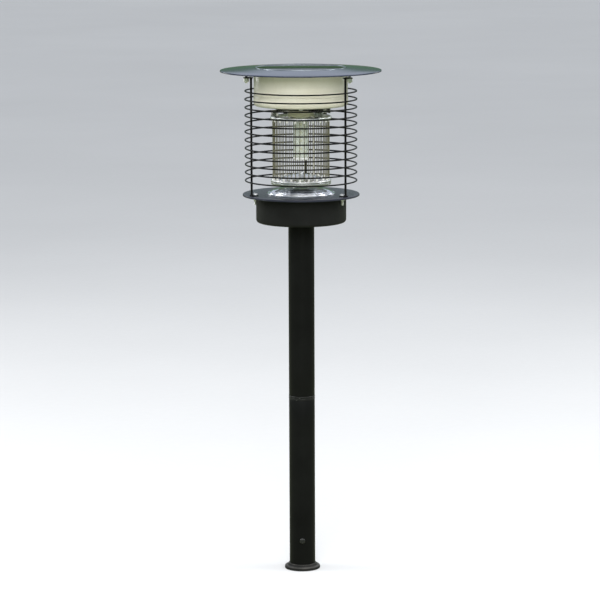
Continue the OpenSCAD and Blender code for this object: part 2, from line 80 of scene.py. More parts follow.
def outward(turn, radius, z):
    """Places a shape so that its own +Z points outward at that turn."""
    return at(turn, radius, z) @ Matrix.Rotation(math.radians(90), 4, "X")


def rounded(corners, closed=True, steps=4):
    """A profile with its corners eased: each corner is (r, z) or (r, z, cut)."""
    out, n = [], len(corners)
    for i, corner in enumerate(corners):
        p = Vector(corner[:2])
        cut = corner[2] if len(corner) > 2 else 0
        if not cut or (not closed and i in (0, n - 1)):
            out.append(tuple(p))
            continue
        u, v = Vector(corners[i - 1][:2]) - p, Vector(corners[(i + 1) % n][:2]) - p
        u = u.normalized() * min(cut, u.length * 0.48)
        v = v.normalized() * min(cut, v.length * 0.48)
        for k in range(steps + 1):
            t = k / steps
            out.append(tuple(p + u * (1 - t) ** 2 + v * t ** 2))
    return out


def circle(radius, z, r, sides=14):
    return [(radius + r * math.cos(TAU * k / sides), z + r * math.sin(TAU * k / sides))
            for k in range(sides)]


class Shape:
    """Points and faces in millimetres."""

    def __init__(self):
        self.points, self.faces = [], []

    def add(self, points, faces, place=None):
        base = len(self.points)
        self.points += [tuple(place @ Vector(p)) if place else tuple(p) for p in points]
        self.faces += [[base + i for i in f] for f in faces]
        return self

    def rows(self, rows, closed=False, place=None):
        """Skins rows of points. A row of one point closes to a tip."""
        points, index = [], []
        n = max(len(r) for r in rows)
        for row in rows:
            start = len(points)
            points += row
            index.append([start + k for k in range(n)] if len(row) == n else [start] * n)
        faces = []
        for a, b in zip(index, index[1:] + (index[:1] if closed else [])):
            for i in range(n):
                j = (i + 1) % n
                face = []
                for k in (a[i], a[j], b[j], b[i]):
                    if k not in face:
                        face.append(k)
                if len(face) > 2:
                    faces.append(face)
        return self.add(points, faces, place)

    def lathe(self, profile, turns=96, closed=True, place=None):
        """Turns a profile about Z. A radius or a height may be a function of the angle."""
        if isinstance(turns, int):
            turns = [TAU * i / turns for i in range(turns)]
        rows = []
        for r, z in profile:
            if not callable(r) and r < 1e-6:
                rows.append([(0, 0, z)])
                continue
            row = []
            for a in turns:
                rr, zz = (v(a) if callable(v) else v for v in (r, z))
                row.append((rr * math.sin(a), -rr * math.cos(a), zz))
            rows.append(row)
        return self.rows(rows, closed, place)

    def sweep(self, path, radius, sides=10, place=None, dome=True):
        """A round wire along a path of points."""
        path = [Vector(p) for p in path]
        steps = [b - a for a, b in zip(path, path[1:])]
        tangents = [steps[0]] + [a + b for a, b in zip(steps, steps[1:])] + [steps[-1]]
        tangents = [t.normalized() for t in tangents]
        side = tangents[0].orthogonal().normalized()
        rings = []
        for p, t in zip(path, tangents):
            side = (side - t * side.dot(t)).normalized()
            rings.append((p, t, side, radius))
        if dome:
            p, t, s, r = rings[0]
            rings.insert(0, (p - t * r * 0.3, t, s, r * 0.7))
            p, t, s, r = rings[-1]
            rings.append((p + t * r * 0.3, t, s, r * 0.7))
        rows = []
        for p, t, s, r in rings:
            other = t.cross(s)
            rows.append([tuple(p + (s * math.cos(TAU * k / sides) + other * math.sin(TAU * k / sides)) * r)
                         for k in range(sides)])
        rows = [[tuple(rings[0][0])]] + rows + [[tuple(rings[-1][0])]]
        return self.rows(rows, False, place)

    def block(self, size, place, ease=0.3):
        """A box with eased edges, centred on its place, built by rows of rounded rectangles."""
        x, y, z = (v / 2 for v in size)
        ease = min(ease, 0.45 * min(x, y, z) * 2)

        def ring(inset, height):
            w, d, c = x - inset, y - inset, ease * 0.7
            corner = [(c, 0), (c * 0.3, c * 0.3), (0, c)]
            out = []
            for sx, sy, flip in ((1, 1, 0), (-1, 1, 1), (-1, -1, 0), (1, -1, 1)):
                for a, b in (corner[::-1] if flip == 0 else corner):
                    out.append((sx * (w - a), sy * (d - b), height))
            return out

        tops = [(ease, z), (ease * 0.3, z - ease * 0.3), (0, z - ease)]
        rows = [[(0, 0, -z)]] + [ring(i, -h) for i, h in tops] + [ring(i, h) for i,
                                                                  h in tops[::-1]] + [[(0, 0, z)]]
        return self.rows(rows, False, place)


def bent_strip(shape, side, width, place, ease=0.25):
    """Sheet bent to a side profile of (radius, z, cut) and as wide as given, with eased edges."""
    line = rounded(side)

    def cut(inset, x):
        row = []
        for i, point in enumerate(line):
            a, b = Vector(line[i - 1]), Vector(line[(i + 1) % len(line)])
            normal = Vector((b.y - a.y, a.x - b.x)).normalized()
            p = Vector(point) - normal * inset * turning
            row.append((x, -p.x, p.y))
        return row

    area = sum(a[0] * b[1] - b[0] * a[1] for a, b in zip(line, line[1:] + line[:1]))
    turning = 1 if area > 0 else -1
    half = width / 2
    rows = [cut(ease, -half), cut(ease * 0.3, -half + ease * 0.3), cut(0, -half + ease),
            cut(0, half - ease), cut(ease * 0.3, half - ease * 0.3), cut(ease, half)]
    base = len(shape.points)
    shape.rows(rows, False, place)
    n = len(line)
    shape.faces += [[base + i for i in range(n)], [base + 5 * n + i for i in range(n)][::-1]]


def add_object(name, data):
    obj = bpy.data.objects.new(name, data)
    bpy.context.scene.collection.objects.link(obj)
    return obj


def piece(name, shape, material, body, nodes=(), crease=38):
    """Makes the mesh and tells the frame what it is."""
    mesh = bpy.data.meshes.new(name)
    mesh.from_pydata([tuple(c * MM for c in p) for p in shape.points], [], shape.faces)
    work = bmesh.new()
    work.from_mesh(mesh)
    bmesh.ops.recalc_face_normals(work, faces=work.faces)
    work.to_mesh(mesh)
    work.free()
    mesh.shade_smooth()
    mesh.set_sharp_from_angle(angle=math.radians(crease))
    mesh.materials.append(material)
    obj = add_object(name, mesh)
    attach(obj, body)
    if nodes:
        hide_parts(*nodes)
    return obj


# ---- materials

def rgba(sockets):
    """The colour sockets of a Mix node, which also has sockets of other kinds."""
    return [s for s in sockets if s.type == "RGBA"]


def surface(name, colours, rough, metallic=0.0, blotch=25.0, grain=1200.0, bump=0.2, depth=0.05,
            wear_and_edge_highlight=None, dust=None, coat=0.0, alpha=1.0, specular=1.0, pattern=None):
    """A procedural finish: colour variation, fine grain, roughness, lighter sharp edges, which are scuffs on
    some finishes and a painted highlight on others, and dust.
    """
    mat = bpy.data.materials.new(name)
    mat.use_nodes = True
    tree = mat.node_tree
    tree.nodes.clear()

    def node(kind, **settings):
        n = tree.nodes.new(kind)
        for key, value in settings.items():
            setattr(n, key, value)
        return n

    def link(a, b):
        tree.links.new(a, b)

    out = node("ShaderNodeOutputMaterial")
    shader = node("ShaderNodeBsdfPrincipled")
    link(shader.outputs[0], out.inputs[0])
    where = node("ShaderNodeTexCoord")

    def noise(scale, detail=4.0):
        n = node("ShaderNodeTexNoise")
        n.inputs["Scale"].default_value = scale
        n.inputs["Detail"].default_value = detail
        n.inputs["Roughness"].default_value = 0.6
        link(where.outputs["Object"], n.inputs["Vector"])
        return n.outputs["Fac"]

    def ranged(source, low, high, to_low, to_high):
        n = node("ShaderNodeMapRange")
        for key, value in zip(("From Min", "From Max", "To Min", "To Max"), (low, high, to_low, to_high)):
            n.inputs[key].default_value = value
        link(source, n.inputs["Value"])
        return n.outputs[0]

    def mixed(factor, a, b):
        n = node("ShaderNodeMix", data_type="RGBA")
        link(factor, n.inputs["Factor"])
        for value, socket in zip((a, b), rgba(n.inputs)):
            if isinstance(value, tuple):
                socket.default_value = (*value, 1)
            else:
                link(value, socket)
        return rgba(n.outputs)[0]

    def product(a, b):
        n = node("ShaderNodeMath", operation="MULTIPLY")
        for value, socket in ((a, n.inputs[0]), (b, n.inputs[1])):
            if isinstance(value, float):
                socket.default_value = value
            else:
                link(value, socket)
        return n.outputs[0]

    large = noise(blotch)
    fine = noise(grain, 2.0)
    ramp = node("ShaderNodeValToRGB")
    spots = [0.3 + 0.4 * i / (len(colours) - 1) for i in range(len(colours))]
    ramp.color_ramp.elements[0].position, ramp.color_ramp.elements[1].position = spots[0], spots[-1]
    for spot in spots[1:-1]:
        ramp.color_ramp.elements.new(spot)
    for element, colour in zip(ramp.color_ramp.elements, colours):
        element.color = (*colour, 1)
    link(large, ramp.inputs[0])
    colour = ramp.outputs[0]
    roughness = ranged(fine, 0.3, 0.7, rough[0], rough[1])

    if pattern == "cells":
        split = node("ShaderNodeSeparateXYZ")
        link(where.outputs["Object"], split.inputs[0])
        scaled = product(split.outputs["X"], 1 / 0.0021)
        fraction = node("ShaderNodeMath", operation="FRACT")
        link(scaled, fraction.inputs[0])
        line = ranged(fraction.outputs[0], 0.90, 0.92, 0.0, 0.75)
        colour = mixed(line, colour, (0.42, 0.46, 0.47))
    if pattern == "brushed":
        rings = node("ShaderNodeTexWave", bands_direction="Z")
        rings.inputs["Scale"].default_value = 900
        rings.inputs["Distortion"].default_value = 1.5
        link(where.outputs["Object"], rings.inputs["Vector"])
        roughness = ranged(rings.outputs["Fac"], 0.0, 1.0, rough[0], rough[1])

    geometry = node("ShaderNodeNewGeometry")
    # Lighter colour on sharp edges: scuffs on some finishes, a painted edge highlight on others.
    if wear_and_edge_highlight:
        worn_and_lit_edge = ranged(geometry.outputs["Pointiness"], 0.53, 0.60, 0.0, 1.0)
        patchy = ranged(noise(blotch * 9), 0.42, 0.62, 0.0, wear_and_edge_highlight[1])
        colour = mixed(product(worn_and_lit_edge, patchy), colour, wear_and_edge_highlight[0])
    if dust:
        split = node("ShaderNodeSeparateXYZ")
        link(geometry.outputs["Normal"], split.inputs[0])
        lying = ranged(split.outputs["Z"], 0.55, 1.0, 0.0, dust[1])
        settled = product(lying, ranged(noise(blotch * 3), 0.35, 0.7, 0.2, 1.0))
        colour = mixed(settled, colour, dust[0])

    link(colour, shader.inputs["Base Color"])
    link(roughness, shader.inputs["Roughness"])
    relief = node("ShaderNodeBump")
    relief.inputs["Strength"].default_value = bump
    relief.inputs["Distance"].default_value = depth * MM
    link(fine, relief.inputs["Height"])
    link(relief.outputs[0], shader.inputs["Normal"])
    shader.inputs["Metallic"].default_value = metallic
    shader.inputs["Coat Weight"].default_value = coat
    shader.inputs["Coat Roughness"].default_value = 0.08
    shader.inputs["Alpha"].default_value = alpha
    shader.inputs["Specular IOR Level"].default_value = 0.5 * specular
    return mat


def glass(name, tint, rough):
    """Clear cover glass: the cells show through it, and it shines more at a slant."""
    mat = bpy.data.materials.new(name)
    mat.use_nodes = True
    tree = mat.node_tree
    tree.nodes.clear()
    new = tree.nodes.new
    out, mix = new("ShaderNodeOutputMaterial"), new("ShaderNodeMixShader")
    clear, shine = new("ShaderNodeBsdfTransparent"), new("ShaderNodeBsdfGlossy")
    fresnel, where = new("ShaderNodeFresnel"), new("ShaderNodeTexCoord")
    smear, spread, tone = new("ShaderNodeTexNoise"), new("ShaderNodeMapRange"), new("ShaderNodeValToRGB")
    smear.inputs["Scale"].default_value = 35
    smear.inputs["Detail"].default_value = 6
    for key, value in zip(("From Min", "From Max", "To Min", "To Max"), (0.35, 0.7, rough, rough * 3)):
        spread.inputs[key].default_value = value
    tone.color_ramp.elements[0].color = (*tint, 1)
    tone.color_ramp.elements[1].color = (*(min(1, c * 1.03) for c in tint), 1)
    fresnel.inputs["IOR"].default_value = 1.5
    for a, b in ((where.outputs["Object"], smear.inputs["Vector"]), (smear.outputs["Fac"],
                                                                     spread.inputs["Value"]),
                 (spread.outputs[0], shine.inputs["Roughness"]), (smear.outputs["Fac"], tone.inputs[0]),
                 (tone.outputs[0], clear.inputs[0]), (fresnel.outputs[0], mix.inputs[0]),
                 (clear.outputs[0], mix.inputs[1]), (shine.outputs[0], mix.inputs[2]),
                 (mix.outputs[0], out.inputs[0])):
        tree.links.new(a, b)
    return mat


DUST = (0.22, 0.21, 0.19)

stake_plastic = surface(
    "stake_plastic", [(0.008, 0.008, 0.008), (0.015, 0.015, 0.014), (0.025, 0.024, 0.022)], (0.45, 0.62),
    blotch=40, bump=0.35, specular=0.3, wear_and_edge_highlight=((0.09, 0.09, 0.085), 0.5), dust=(DUST, 0.3))
fixing_steel = surface(
    "fixing_steel", [(0.80, 0.80, 0.80), (0.90, 0.90, 0.91)], (0.28, 0.42), metallic=0.9, blotch=220,
    bump=0.15, wear_and_edge_highlight=((0.9, 0.9, 0.9), 0.6))
pole_paint = surface(
    "pole_paint", [(0.004, 0.004, 0.004), (0.007, 0.0072, 0.007)], (0.32, 0.44), blotch=18, bump=0.12,
    specular=0.22, wear_and_edge_highlight=((0.05, 0.05, 0.05), 0.25))
# The light colour on the joint band's sharp edges is a painted highlight.
joiner_paint = surface(
    "joiner_paint", [(0.008, 0.008, 0.008), (0.013, 0.013, 0.013)], (0.24, 0.36), blotch=60, bump=0.12,
    specular=0.6, wear_and_edge_highlight=((0.34, 0.34, 0.33), 1.0))
cup_paint = surface(
    "cup_paint", [(0.009, 0.0092, 0.009), (0.013, 0.0132, 0.013)], (0.42, 0.58), blotch=22, grain=1500,
    bump=0.3, specular=0.25, wear_and_edge_highlight=((0.09, 0.09, 0.09), 0.4))
darkened_steel = surface(
    "darkened_steel", [(0.030, 0.030, 0.030), (0.085, 0.085, 0.082)], (0.30, 0.45), metallic=0.8, blotch=500,
    bump=0.2, wear_and_edge_highlight=((0.35, 0.35, 0.34), 0.7))
socket_steel = surface(
    "socket_steel", [(0.42, 0.42, 0.42), (0.55, 0.55, 0.54)], (0.3, 0.45), metallic=1.0, bump=0.15)
# The light colour on the flange's sharp rim edges is a painted highlight.
flange_paint = surface(
    "flange_paint", [(0.017, 0.019, 0.029), (0.026, 0.029, 0.042)], (0.24, 0.36), blotch=20, bump=0.12,
    specular=0.35, wear_and_edge_highlight=((0.36, 0.38, 0.42), 0.8), dust=(DUST, 0.06))
cage_paint = surface(
    "cage_paint", [(0.004, 0.004, 0.0045), (0.008, 0.008, 0.008)], (0.28, 0.42), blotch=90, bump=0.2,
    specular=0.2, wear_and_edge_highlight=((0.12, 0.12, 0.12), 0.12))
dish_chrome = surface(
    "dish_chrome", [(0.80, 0.82, 0.86), (0.88, 0.89, 0.92)], (0.05, 0.09), metallic=1.0, blotch=60,
    bump=0.02, dust=((0.5, 0.5, 0.5), 0.03))
cone_chrome = surface(
    "cone_chrome", [(0.84, 0.85, 0.86), (0.93, 0.93, 0.93)], (0.20, 0.30), metallic=1.0, blotch=60,
    bump=0.03, dust=((0.5, 0.5, 0.48), 0.06))
grid_ring_steel = surface(
    "grid_ring_steel", [(0.84, 0.84, 0.84), (0.93, 0.93, 0.92)], (0.26, 0.40), metallic=1.0, blotch=120,
    pattern="brushed", bump=0.05, wear_and_edge_highlight=((0.95, 0.95, 0.95), 0.5))
grid_wire_steel = surface(
    "grid_wire_steel", [(0.19, 0.18, 0.125), (0.27, 0.255, 0.18)], (0.32, 0.48), metallic=0.4, blotch=160,
    bump=0.1)
insulator_white = surface(
    "insulator_white", [(0.72, 0.71, 0.66), (0.82, 0.81, 0.77)], (0.25, 0.4), blotch=200, bump=0.1)
insulator_ceramic = surface(
    "insulator_ceramic", [(0.76, 0.75, 0.71), (0.86, 0.85, 0.82)], (0.14, 0.26), blotch=150, bump=0.06,
    coat=0.5)
lamp_glass = surface(
    "lamp_glass", [(0.72, 0.78, 0.68), (0.82, 0.86, 0.78)], (0.12, 0.22), blotch=50, bump=0.08, alpha=0.30)
lamp_white = surface(
    "lamp_white", [(0.86, 0.86, 0.84), (0.93, 0.93, 0.92)], (0.28, 0.4), blotch=90, bump=0.1)
# A darker, greener copy of the lamp's white plastic: painted shade and a painted green reflection.
holder_ivory_painted_shade = surface(
    "holder_ivory_painted_shade", [(0.56, 0.55, 0.36), (0.66, 0.64, 0.45), (0.72, 0.70, 0.52)], (0.3, 0.45), blotch=70,
    bump=0.15)
led_board_white = surface(
    "led_board_white", [(0.74, 0.75, 0.72), (0.85, 0.85, 0.83)], (0.3, 0.45), blotch=200)
led_yellow = surface("led_yellow", [(0.74, 0.68, 0.40), (0.84, 0.79, 0.52)], (0.2, 0.35), blotch=600)
housing_ivory = surface(
    "housing_ivory", [(0.77, 0.73, 0.60), (0.82, 0.785, 0.665), (0.86, 0.83, 0.72)], (0.20, 0.32), blotch=16,
    bump=0.08, coat=0.35, wear_and_edge_highlight=((0.86, 0.85, 0.80), 0.5))
gasket_rubber = surface(
    "gasket_rubber", [(0.02, 0.02, 0.02), (0.035, 0.035, 0.034)], (0.6, 0.8), blotch=90, bump=0.3)
standoff_brass = surface(
    "standoff_brass", [(0.60, 0.45, 0.18), (0.72, 0.56, 0.26)], (0.25, 0.4), metallic=1.0, blotch=200)
board_green = surface("board_green", [(0.012, 0.09, 0.03), (0.02, 0.13, 0.05)], (0.3, 0.45), blotch=80)
coil_yellow = surface("coil_yellow", [(0.55, 0.40, 0.05), (0.70, 0.54, 0.10)], (0.3, 0.5), blotch=150)
capacitor_blue = surface("capacitor_blue", [(0.01, 0.03, 0.14), (0.02, 0.05, 0.20)], (0.25, 0.4), blotch=150)
cell_blue = surface("cell_blue", [(0.02, 0.12, 0.28), (0.04, 0.17, 0.36)], (0.25, 0.4), blotch=60)
tray_black = surface(
    "tray_black", [(0.015, 0.015, 0.015), (0.03, 0.03, 0.03)], (0.45, 0.6), blotch=80, bump=0.3)
lead_red = surface("lead_red", [(0.42, 0.03, 0.02), (0.55, 0.05, 0.03)], (0.35, 0.5), blotch=200)
cap_paint = surface(
    "cap_paint", [(0.021, 0.027, 0.047), (0.030, 0.037, 0.062)], (0.08, 0.13), blotch=12, grain=1500,
    bump=0.05, specular=0.6, wear_and_edge_highlight=((0.20, 0.22, 0.26), 0.6), dust=(DUST, 0.04))
panel_back = surface("panel_back", [(0.02, 0.05, 0.035), (0.03, 0.07, 0.05)], (0.35, 0.5), blotch=50)
# The dark cells are tinted green: a painted reflection of greenery.
solar_blue = surface(
    "solar_blue", [(0.010, 0.030, 0.028), (0.016, 0.045, 0.040), (0.022, 0.055, 0.060)], (0.18, 0.3),
    blotch=55, bump=0.02, pattern="cells")
# The glass's green tint is also a painted reflection of greenery.
panel_glass = glass("panel_glass", (0.90, 0.97, 0.93), 0.012)
# The bright colour on the bezel's edges is a painted highlight.
bezel_metal = surface(
    "bezel_metal", [(0.24, 0.27, 0.30), (0.32, 0.35, 0.38)], (0.16, 0.26), metallic=1.0, blotch=60,
    bump=0.06, wear_and_edge_highlight=((0.8, 0.8, 0.8), 0.6))
mount_black = surface(
    "mount_black", [(0.010, 0.010, 0.010), (0.020, 0.020, 0.019)], (0.30, 0.42), blotch=90, bump=0.2,
    specular=0.6, wear_and_edge_highlight=((0.08, 0.08, 0.08), 0.4))
# Dark steel whose near-white edges are a painted highlight.
bracket_steel = surface(
    "bracket_steel", [(0.035, 0.028, 0.022), (0.10, 0.075, 0.055)], (0.18, 0.34), metallic=0.9, blotch=160,
    bump=0.1, wear_and_edge_highlight=((0.95, 0.95, 0.95), 0.9))
lead_cream = surface("lead_cream", [(0.62, 0.60, 0.52), (0.72, 0.70, 0.62)], (0.35, 0.5), blotch=200)
switch_black = surface(
    "switch_black", [(0.012, 0.012, 0.012), (0.024, 0.024, 0.024)], (0.35, 0.5), blotch=200, bump=0.2,
    wear_and_edge_highlight=((0.1, 0.1, 0.1), 0.4))
button_red = surface(
    "button_red", [(0.42, 0.02, 0.015), (0.52, 0.035, 0.025)], (0.25, 0.38), blotch=200, bump=0.1, coat=0.3)
collar_dark = surface(
    "collar_dark", [(0.030, 0.028, 0.026), (0.055, 0.050, 0.045)], (0.3, 0.45), metallic=0.8, blotch=300,
    bump=0.15)


# ---- fasteners

def pan_head(shape, r, h, place, arm=0.62, depth=0.5, turn=0.0):
    """A domed screw head with a cross recess, its seat at z = 0."""
    steps = 12

    def top(radius):
        return h * (0.42 + 0.58 * math.sqrt(max(0.0, 1 - (radius / r) ** 2.4)))

    def recess(radius, angle):
        x, y = radius * math.cos(angle + turn), radius * math.sin(angle + turn)
        a, b = abs(x), abs(y)
        width, reach = r * 0.13, r * arm
        soft = r * 0.05

        def along(u, v):
            return min(1, max(0, (width - v) / soft + 0.5)) * min(1, max(0, (reach - u) / soft / 2 + 0.5))

        return h * depth * max(along(a, b), along(b, a)) * (1 - 0.45 * radius / reach if radius < reach
                                                            else 0.55)

    profile = [(0, 0), (r * 0.96, 0), (r, h * 0.06), (r, h * 0.42)]
    for k in range(1, steps):
        radius = r * (1 - k / steps) ** 0.8
        profile.append((radius, lambda a, q=radius: top(q) - recess(q, a)))
    profile.append((0, h * (1 - depth)))
    shape.lathe(profile, 48, False, place)


def thread(shape, r, low, high, place, pitch=0.7, depth=0.28):
    """A threaded shank from low to high, with a chamfered end at low."""
    count = max(4, int((high - low) / pitch * 4))
    profile = [(0, low), (r - depth - 0.1, low), (r - depth, low + 0.2)]

    def groove(z):
        return lambda a: r - depth * (1 - abs(2 * ((z / pitch - a / TAU) % 1) - 1))

    for k in range(1, count + 1):
        z = low + 0.3 + (high - low - 0.3) * k / count
        profile.append((groove(z), z))
    profile.append((0, high))
    shape.lathe(profile, 20, False, place)


def hex_nut(shape, low, high, place, corner=4.05, bore=2.05):
    flat = corner * math.cos(math.pi / 6)

    def hexagon(trim):
        def radius(a):
            side = flat / math.cos((a + math.pi / 2) % (math.pi / 3) - math.pi / 6)
            return min(side, flat + trim)
        return radius

    profile = [(bore + 0.35, low), (hexagon(-0.05), low), (hexagon(0.28), low + 0.22),
               (hexagon(9), low + 0.5), (hexagon(9), high - 0.5), (hexagon(0.28), high - 0.22),
               (hexagon(-0.05), high), (bore + 0.35, high), (bore, high - 0.35), (bore, low + 0.35)]
    shape.lathe(profile, 72, True, place)


# ---- stake and poles

def build_stake():
    s = Shape().lathe(rounded([
        (0, 0), (26.1, 0, 0.8), (26.1, 4, 1.1), (21.5, 4.6, 0.8), (20.5, TUBE_Z, 0.6), (PLUG_R, TUBE_Z),
        (PLUG_R, PLUG_TOP - 2.5, 0.4), (15.9, PLUG_TOP, 0.6), (0, PLUG_TOP)], closed=False), 128, False)
    sections = []
    for z, w, t in ((2, 15, 1.5), (0, 15, 1.5), (-0.6, 15, 1.5), (-30, 14.1, 1.5), (-60, 13.2, 1.5),
                    (-97, 12.1, 1.5), (-101, 11.7, 1.5), (-130, 7.4, 1.4), (-160, 3.2, 1.1),
                    (-176, 1.2, 0.7), (-179.2, 0.6, 0.45)):
        fillet, ease = min(1.2, w * 0.15), min(0.5, t * 0.35)
        arm = [(t + fillet, -t), (w - ease, -t), (w, -t + ease), (w, t - ease), (w - ease, t),
               (t + fillet, t), (t + fillet * 0.3, t + fillet * 0.3)]
        row = []
        for k in range(4):
            turn = Matrix.Rotation(math.radians(90 * k), 2)
            row += [(*(turn @ Vector(p)), z) for p in arm]
        sections.append(row)
    s.rows([[(0, 0, 2)]] + sections + [[(0, 0, -SPIKE)]])
    piece("stake_body", s, stake_plastic, "stake", ["ground_stake"])


def build_stake_screw():
    s = Shape()
    place = outward(0, POLE_R, STAKE_SCREW_Z)
    pan_head(s, 4, 2.6, place, turn=0.5)
    thread(s, 2.0, -12, 0, place, pitch=1.2, depth=0.4)
    piece("stake_fixing", s, darkened_steel, "stake", ["stake_screw"])


def tube(low, high, cut=0.8):
    """A pole tube with eased ends, and rows along it."""
    rows = 6
    profile = [(BORE_R, low + 0.4), (BORE_R + 0.4, low), (POLE_R - cut, low),
               (POLE_R - cut * 0.3, low + cut * 0.3), (POLE_R, low + cut)]
    profile += [(POLE_R, low + (high - low) * k / rows) for k in range(1, rows)]
    profile += [(POLE_R, high - cut), (POLE_R - cut * 0.3, high - cut * 0.3), (POLE_R - cut, high),
                (BORE_R + 0.4, high), (BORE_R, high - 0.4)]
    profile += [(BORE_R, low + (high - low) * k / rows) for k in range(rows - 1, 0, -1)]
    return Shape().lathe(profile, 128)


def build_poles():
    piece("pole_lower_tube", tube(TUBE_Z, JOINT_Z - BAND_HALF), pole_paint, "stake", ["lower_pole"])
    piece("pole_upper_tube", tube(JOINT_Z + BAND_HALF, POLE_TOP), pole_paint, "upper_pole", ["upper_pole"])
    s = Shape()
    z, half, bore = JOINT_Z, BAND_HALF, PLUG_R - 2
    sleeve = half + 38
    s.lathe(rounded([
        (bore, z - sleeve, 0.4), (PLUG_R, z - sleeve, 0.9), (PLUG_R, z - half), (POLE_R, z - half),
        (19.3, z - 2.1, 0.2), (19.3, z - 0.7, 0.25), (18.5, z - 0.3, 0.15), (18.5, z + 0.3, 0.15),
        (19.3, z + 0.7, 0.25), (19.3, z + 2.1, 0.2), (POLE_R, z + half), (PLUG_R, z + half),
        (PLUG_R, z + sleeve, 0.9), (bore, z + sleeve, 0.4)]), 128)
    piece("pole_joint_band", s, joiner_paint, "stake", ["pole_joiner"])


# ---- base of the head

def build_base():
    s = Shape()
    hole, inner, top = POLE_R + 0.35, CUP_R - 1.5, FLANGE_Z
    s.lathe(rounded([
        (hole, HEAD_Z, 0.5), (CUP_R, HEAD_Z, 5.2), (CUP_R, HEAD_Z + 20), (CUP_R, top, 0.3),
        (inner, top, 0.3), (inner, HEAD_Z + 1.5, 4.2), (hole, HEAD_Z + 1.5, 0.5)], steps=8), 160)
    piece("cup_body", s, cup_paint, "head", ["base_cup"])

    s = Shape().lathe(rounded([
        (6, POLE_TOP), (SOCKET_R, POLE_TOP, 0.4), (SOCKET_R, SOCKET_Z, 0.5), (22, SOCKET_Z, 0.8),
        (22, POLE_TOP, 1.2), (29, POLE_TOP, 0.5), (29, FLANGE_Z, 0.3), (6, FLANGE_Z)]), 96)
    piece("socket_body", s, socket_steel, "head", ["pole_socket"])

    s = Shape()
    low, top, rim = FLANGE_Z, FLANGE_TOP, FLANGE_R
    s.lathe(rounded([
        (6, low), (30, low), (55, low), (rim - 2.4, low, 0.5), (rim - 1.7, low - 1.2, 0.4),
        (rim, low - 1.2, 0.7), (rim, top, 1.3), (rim - 6, top), (60, top), (30, top), (6, top)], steps=6),
        192)
    piece("flange_disc", s, flange_paint, "head", ["flange_plate"])

    bolts, nuts = Shape(), Shape()
    for k in range(3):
        turn = ROD_TURN + 120 * k
        pan_head(bolts, 3.7, 2.6, at(turn, BOLT_CIRCLE, FLANGE_TOP + TAB), turn=0.4 + k)
        thread(bolts, 2.0, 548.5, FLANGE_TOP + TAB, at(turn, BOLT_CIRCLE))
        hex_nut(nuts, FLANGE_Z - 3.6, FLANGE_Z, at(turn, BOLT_CIRCLE))
    piece("base_bolt_set", bolts, fixing_steel, "head", ["base_bolts"])
    piece("base_nut_set", nuts, fixing_steel, "head", ["base_nuts"])


# ---- cage

def tab(shape, low, reach, place, width=9.0, thick=TAB, hole=2.25):
    """A flat foot: round at its hole, square at the rod, which lies at +Y or -Y by reach."""
    half = width / 2
    length = abs(reach) + ROD_R
    back = 0 if reach > 0 else math.pi

    def outline(inset):
        def radius(a):
            c, s = math.cos(a - back), abs(math.sin(a - back))
            full = half if c <= 0 else min(half / max(s, 1e-6), length / c)
            return full - inset
        return radius

    profile = [(hole + 0.2, low), (outline(0.35), low), (outline(0.08), low + 0.12), (outline(0), low + 0.4),
               (outline(0), low + thick - 0.4), (outline(0.08), low + thick - 0.12),
               (outline(0.35), low + thick), (hole + 0.2, low + thick), (hole, low + thick - 0.2),
               (hole, low + 0.2)]
    shape.lathe(profile, 96, True, place)


